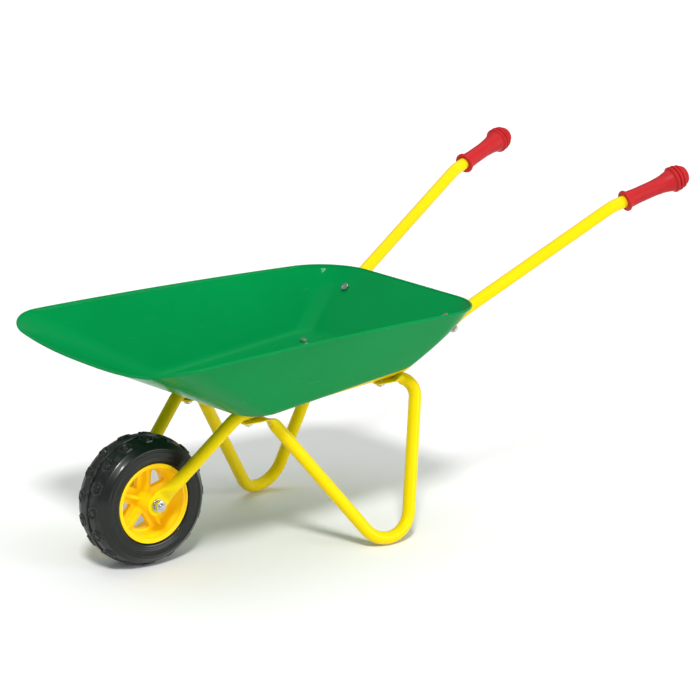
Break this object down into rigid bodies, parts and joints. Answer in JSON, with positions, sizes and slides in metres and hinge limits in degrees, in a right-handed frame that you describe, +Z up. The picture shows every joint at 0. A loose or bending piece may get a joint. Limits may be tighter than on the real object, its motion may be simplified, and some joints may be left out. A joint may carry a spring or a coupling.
{
  "type": "wheelbarrow",
  "caption": "Child's wheelbarrow: a pressed steel tray bolted to bent tube rails and tube legs, with a spinning plastic front wheel and slip-on grips.",
  "frame": {"origin": "centre of the whole barrow's footprint at ground level, standing on its wheel and its legs", "axes": "+X towards the grips (the wheel is at -X), +Y towards the barrow's right side, +Z up"},
  "size_m": [0.8114, 0.3754, 0.4257],
  "materials": {
    "tray_enamel": "glossy green enamel on steel sheet",
    "frame_enamel": "glossy yellow enamel on steel tube",
    "hub_plastic": "glossy moulded yellow plastic",
    "grip_plastic": "satin red plastic",
    "tyre_plastic": "glossy moulded black plastic",
    "zinc": "bright zinc plated steel"
  },
  "bodies": {
    "frame": {"tray": "tray_enamel", "rail_left": "frame_enamel", "leg_left": "frame_enamel", "grip_left": "grip_plastic", "axle_washer_left": "zinc", "rail_right": "frame_enamel", "leg_right": "frame_enamel", "grip_right": "grip_plastic", "axle_washer_right": "zinc", "bolt_front_left": "zinc", "nut_front_left": "zinc", "bolt_rear_left": "zinc", "nut_rear_left": "zinc", "bolt_wall_left": "zinc", "nut_wall_left": "zinc", "bolt_front_right": "zinc", "nut_front_right": "zinc", "bolt_rear_right": "zinc", "nut_rear_right": "zinc", "bolt_wall_right": "zinc", "nut_wall_right": "zinc", "axle_sleeve": "zinc", "axle_bolt": "zinc", "axle_nut": "zinc"},
    "wheel": {"tyre": "tyre_plastic", "hub_left": "hub_plastic", "hub_right": "hub_plastic"}
  },
  "joints": [
    {"name": "wheel_spin", "type": "hinge", "parent": "frame", "child": "wheel", "pos_m": [-0.3257, 0, 0.08], "axis": [0, 1, 0], "continuous": true}
  ]
}
